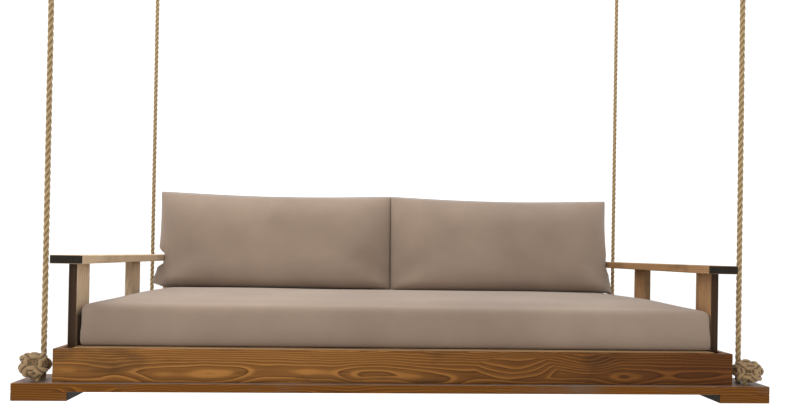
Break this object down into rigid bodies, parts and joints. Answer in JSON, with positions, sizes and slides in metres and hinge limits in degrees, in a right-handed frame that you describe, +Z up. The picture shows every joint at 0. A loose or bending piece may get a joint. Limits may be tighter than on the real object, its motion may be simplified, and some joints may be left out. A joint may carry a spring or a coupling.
{
  "type": "porch swing seat",
  "caption": "Daybed-size porch swing: slatted wooden box with arms and a low back rail, loose cushions, hung on knotted ropes from hinged ceiling hangers.",
  "frame": {"origin": "centre of the four ceiling studs, in the plane of the ceiling that the hangers' flanges bear on", "axes": "+X along the seat, to the right as seen from its front; +Y from the seat's front to its back; +Z up"},
  "size_m": [2.212, 1.14, 2.0014],
  "materials": {
    "stained_wood": "satin oil stain",
    "deck_wood": "sawn, lightly stained",
    "cushion_fabric": "smooth taupe woven cover",
    "manila_rope": "three-strand natural fibre",
    "seizing_twine": "tarred twine",
    "galvanised_steel": "galvanised",
    "bronzed_steel": "bronzed"
  },
  "bodies": {
    "ceiling": {"hanger_front_left": "galvanised_steel", "hanger_front_right": "galvanised_steel", "hanger_rear_left": "galvanised_steel", "hanger_rear_right": "galvanised_steel", "swing_pins": "galvanised_steel"},
    "clevis_front_left": {"clevis_front_left": "galvanised_steel", "clevis_pin_front_left": "galvanised_steel"},
    "rope_front_left": {"rope_front_left": "manila_rope", "thimble_front_left": "galvanised_steel", "seizing_front_left": "seizing_twine"},
    "bend_front_left": {"rope_bend_front_left": "manila_rope"},
    "clevis_front_right": {"clevis_front_right": "galvanised_steel", "clevis_pin_front_right": "galvanised_steel"},
    "rope_front_right": {"rope_front_right": "manila_rope", "thimble_front_right": "galvanised_steel", "seizing_front_right": "seizing_twine"},
    "bend_front_right": {"rope_bend_front_right": "manila_rope"},
    "knot_front_right": {"knot_front_right": "manila_rope"},
    "clevis_rear_left": {"clevis_rear_left": "galvanised_steel", "clevis_pin_rear_left": "galvanised_steel"},
    "rope_rear_left": {"rope_rear_left": "manila_rope", "thimble_rear_left": "galvanised_steel", "seizing_rear_left": "seizing_twine"},
    "bend_rear_left": {"rope_bend_rear_left": "manila_rope"},
    "knot_rear_left": {"knot_rear_left": "manila_rope"},
    "clevis_rear_right": {"clevis_rear_right": "galvanised_steel", "clevis_pin_rear_right": "galvanised_steel"},
    "rope_rear_right": {"rope_rear_right": "manila_rope", "thimble_rear_right": "galvanised_steel", "seizing_rear_right": "seizing_twine"},
    "bend_rear_right": {"rope_bend_rear_right": "manila_rope"},
    "knot_rear_right": {"knot_rear_right": "manila_rope"},
    "seat": {"back_cushion_left": "cushion_fabric", "back_cushion_right": "cushion_fabric", "back_posts": "stained_wood", "back_slats": "stained_wood", "back_top_rail": "stained_wood", "deck_joists": "deck_wood", "deck_slats": "deck_wood", "front_apron": "stained_wood", "front_base_rail": "stained_wood", "front_rope_blocks": "stained_wood", "knot_front_left": "manila_rope", "lag_screws": "galvanised_steel", "left_apron": "stained_wood", "left_armrest": "stained_wood", "left_front_post": "stained_wood", "left_middle_post": "stained_wood", "left_rear_post": "stained_wood", "rear_apron": "stained_wood", "rear_base_rail": "stained_wood", "rear_rope_blocks": "stained_wood", "right_apron": "stained_wood", "right_armrest": "stained_wood", "right_front_post": "stained_wood", "right_middle_post": "stained_wood", "right_rear_post": "stained_wood", "seat_cushion": "cushion_fabric", "wood_screws": "bronzed_steel"}
  },
  "joints": [
    {"name": "seat_swing", "type": "hinge", "parent": "ceiling", "child": "clevis_front_left", "pos_m": [-1.048, -0.489, -0.042], "axis": [1, 0, 0], "range_deg": [-20, 20]},
    {"name": "seat_sway", "type": "hinge", "parent": "clevis_front_left", "child": "rope_front_left", "pos_m": [-1.048, -0.489, -0.116], "axis": [0, 1, 0], "range_deg": [-5, 5]},
    {"name": "bend_sway_front_left", "type": "hinge", "parent": "rope_front_left", "child": "bend_front_left", "pos_m": [-1.048, -0.489, -1.746], "axis": [0, 1, 0], "range_deg": [-5, 5]},
    {"name": "bend_swing_front_left", "type": "hinge", "parent": "bend_front_left", "child": "seat", "pos_m": [-1.048, -0.489, -1.776], "axis": [1, 0, 0], "range_deg": [-20, 20]},
    {"name": "swing_front_right", "type": "hinge", "parent": "ceiling", "child": "clevis_front_right", "pos_m": [1.048, -0.489, -0.042], "axis": [1, 0, 0], "range_deg": [-20, 20]},
    {"name": "sway_front_right", "type": "hinge", "parent": "clevis_front_right", "child": "rope_front_right", "pos_m": [1.048, -0.489, -0.116], "axis": [0, 1, 0], "range_deg": [-5, 5]},
    {"name": "bend_sway_front_right", "type": "hinge", "parent": "rope_front_right", "child": "bend_front_right", "pos_m": [1.048, -0.489, -1.746], "axis": [0, 1, 0], "range_deg": [-5, 5]},
    {"name": "bend_swing_front_right", "type": "hinge", "parent": "bend_front_right", "child": "knot_front_right", "pos_m": [1.048, -0.489, -1.776], "axis": [1, 0, 0], "range_deg": [-20, 20]},
    {"name": "swing_rear_left", "type": "hinge", "parent": "ceiling", "child": "clevis_rear_left", "pos_m": [-1.048, 0.489, -0.042], "axis": [1, 0, 0], "range_deg": [-20, 20]},
    {"name": "sway_rear_left", "type": "hinge", "parent": "clevis_rear_left", "child": "rope_rear_left", "pos_m": [-1.048, 0.489, -0.116], "axis": [0, 1, 0], "range_deg": [-5, 5]},
    {"name": "bend_sway_rear_left", "type": "hinge", "parent": "rope_rear_left", "child": "bend_rear_left", "pos_m": [-1.048, 0.489, -1.746], "axis": [0, 1, 0], "range_deg": [-5, 5]},
    {"name": "bend_swing_rear_left", "type": "hinge", "parent": "bend_rear_left", "child": "knot_rear_left", "pos_m": [-1.048, 0.489, -1.776], "axis": [1, 0, 0], "range_deg": [-20, 20]},
    {"name": "swing_rear_right", "type": "hinge", "parent": "ceiling", "child": "clevis_rear_right", "pos_m": [1.048, 0.489, -0.042], "axis": [1, 0, 0], "range_deg": [-20, 20]},
    {"name": "sway_rear_right", "type": "hinge", "parent": "clevis_rear_right", "child": "rope_rear_right", "pos_m": [1.048, 0.489, -0.116], "axis": [0, 1, 0], "range_deg": [-5, 5]},
    {"name": "bend_sway_rear_right", "type": "hinge", "parent": "rope_rear_right", "child": "bend_rear_right", "pos_m": [1.048, 0.489, -1.746], "axis": [0, 1, 0], "range_deg": [-5, 5]},
    {"name": "bend_swing_rear_right", "type": "hinge", "parent": "bend_rear_right", "child": "knot_rear_right", "pos_m": [1.048, 0.489, -1.776], "axis": [1, 0, 0], "range_deg": [-20, 20]}
  ],
  "couplings": [
    {"joint": "bend_sway_front_left", "follows": "seat_sway", "ratio": -1},
    {"joint": "bend_swing_front_left", "follows": "seat_swing", "ratio": -1},
    {"joint": "swing_front_right", "follows": "seat_swing", "ratio": 1},
    {"joint": "sway_front_right", "follows": "seat_sway", "ratio": 1},
    {"joint": "bend_sway_front_right", "follows": "seat_sway", "ratio": -1},
    {"joint": "bend_swing_front_right", "follows": "seat_swing", "ratio": -1},
    {"joint": "swing_rear_left", "follows": "seat_swing", "ratio": 1},
    {"joint": "sway_rear_left", "follows": "seat_sway", "ratio": 1},
    {"joint": "bend_sway_rear_left", "follows": "seat_sway", "ratio": -1},
    {"joint": "bend_swing_rear_left", "follows": "seat_swing", "ratio": -1},
    {"joint": "swing_rear_right", "follows": "seat_swing", "ratio": 1},
    {"joint": "sway_rear_right", "follows": "seat_sway", "ratio": 1},
    {"joint": "bend_sway_rear_right", "follows": "seat_sway", "ratio": -1},
    {"joint": "bend_swing_rear_right", "follows": "seat_swing", "ratio": -1}
  ]
}
